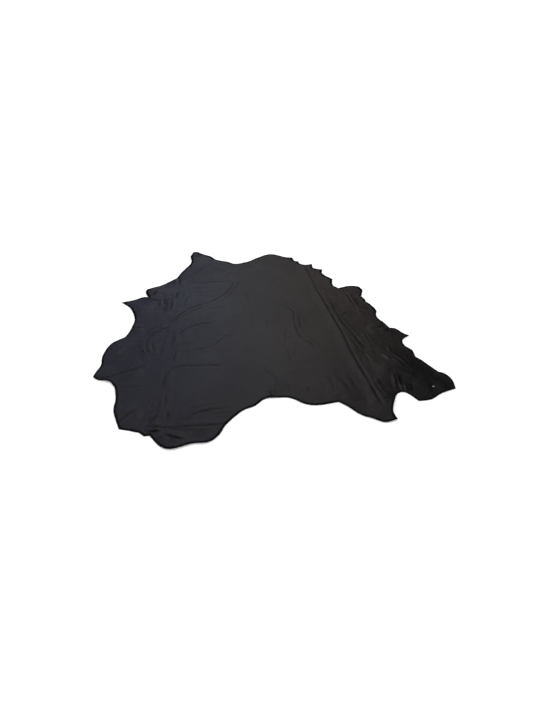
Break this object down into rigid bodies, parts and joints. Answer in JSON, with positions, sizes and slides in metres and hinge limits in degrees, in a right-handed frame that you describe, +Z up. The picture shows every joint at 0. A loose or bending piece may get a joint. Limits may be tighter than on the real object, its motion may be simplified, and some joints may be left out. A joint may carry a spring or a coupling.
{
  "type": "leather hide",
  "caption": "Whole black finished cattle hide lying flat: one thin leather sheet with an irregular trimmed margin, packing creases and soft wrinkles.",
  "frame": {"origin": "on the surface that the hide lies on, under the middle of its outline's box", "axes": "+X to the right and +Y away, as seen from the near side, where the neck end is; +Z up, out of the grain side"},
  "size_m": [2.2198, 2.462, 0.0143],
  "materials": {
    "black leather": "satin, fine grain"
  },
  "bodies": {
    "root": {"hide": "black leather"}
  },
  "joints": []
}
